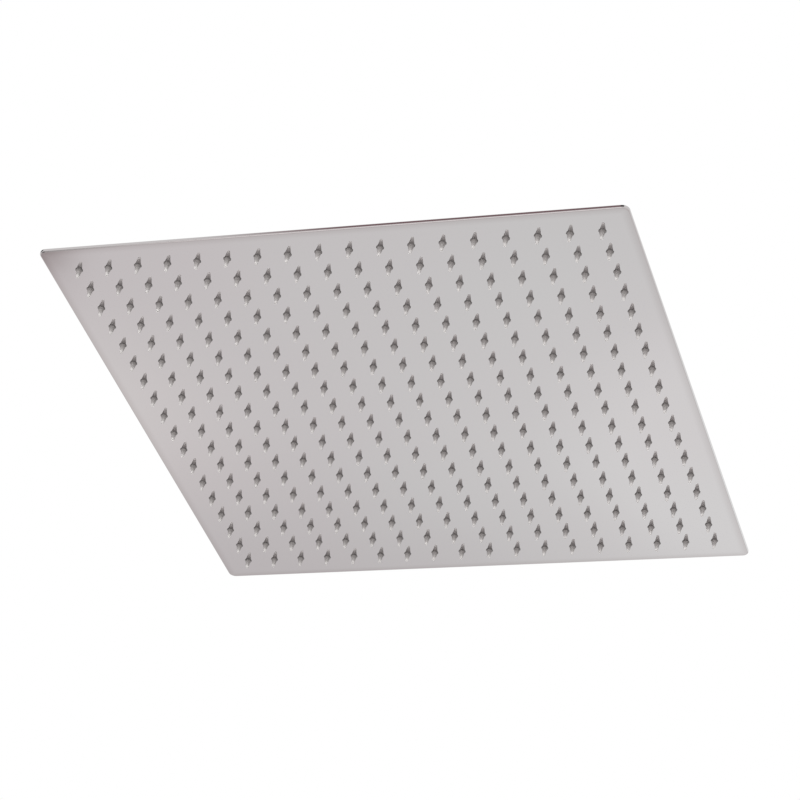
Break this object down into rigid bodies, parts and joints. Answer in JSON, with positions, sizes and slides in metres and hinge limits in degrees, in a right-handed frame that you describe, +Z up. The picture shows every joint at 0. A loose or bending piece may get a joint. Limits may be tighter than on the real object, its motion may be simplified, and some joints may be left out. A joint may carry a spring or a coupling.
{
  "type": "rain shower head",
  "caption": "Thin square rain shower head: a pierced, polished steel plate of silicone nozzles under a pressed back, hung from a swivel ball connector with a pipe thread.",
  "frame": {"origin": "centre of the connector's threaded mouth, where the shower arm screws in", "axes": "+Z up along the shower arm, away from the spray face; X and Y along the sides of the square plate"},
  "size_m": [0.4, 0.4, 0.0634],
  "materials": {
    "polished_stainless": "polished",
    "turned_stainless": "satin",
    "chromed_brass": "polished",
    "grey_silicone": "satin",
    "black_rubber": "matte",
    "white_nylon": "satin",
    "woven_screen": "satin"
  },
  "bodies": {
    "connector": {"ball_connector": "chromed_brass", "filter_screen": "woven_screen", "filter_washer": "black_rubber"},
    "liner": {"friction_liner": "white_nylon"},
    "seal": {"ball_seal": "black_rubber"},
    "head": {"face_plate": "polished_stainless", "back_plate": "polished_stainless", "silicone_nozzles": "grey_silicone", "inlet_neck": "turned_stainless", "collar_nut": "chromed_brass"}
  },
  "joints": [
    {"name": "tilt_about_x", "type": "hinge", "parent": "connector", "child": "liner", "pos_m": [0, 0, -0.0342], "axis": [1, 0, 0], "range_deg": [-15, 15]},
    {"name": "tilt_about_y", "type": "hinge", "parent": "liner", "child": "seal", "pos_m": [0, 0, -0.0342], "axis": [0, 1, 0], "range_deg": [-15, 15]},
    {"name": "spin", "type": "hinge", "parent": "seal", "child": "head", "pos_m": [0, 0, -0.0342], "axis": [0, 0, 1], "continuous": true}
  ]
}
